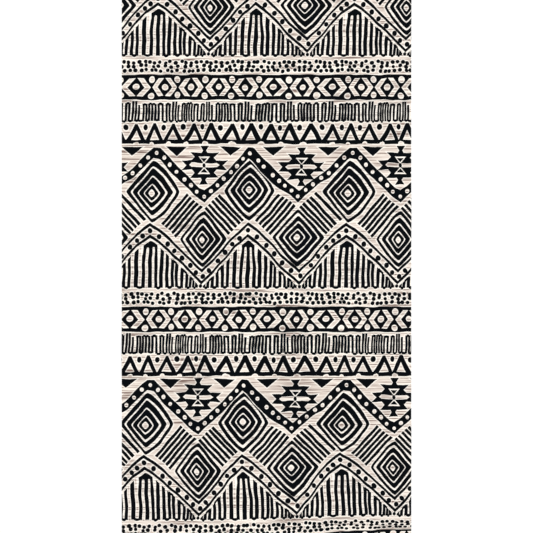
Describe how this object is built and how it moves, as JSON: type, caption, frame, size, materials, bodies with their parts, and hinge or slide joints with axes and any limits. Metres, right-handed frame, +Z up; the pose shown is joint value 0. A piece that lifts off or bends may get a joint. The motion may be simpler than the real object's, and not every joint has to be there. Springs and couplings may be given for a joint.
{
  "type": "length of printed cotton cloth",
  "caption": "Cut length of cotton cloth, printed black on cream with bands of traditional geometric ornament, lying flat and face up with a few low ripples.",
  "frame": {"origin": "middle of the cloth's footprint, on the surface that it lies on", "axes": "+X across the cloth, +Y along it towards the top of the print, +Z up out of the printed face"},
  "size_m": [0.3992, 0.8001, 0.0038],
  "materials": {
    "printed_cotton": "matte plain-weave cotton, black geometric print on a cream ground"
  },
  "bodies": {
    "root": {"cloth": "printed_cotton"}
  },
  "joints": []
}
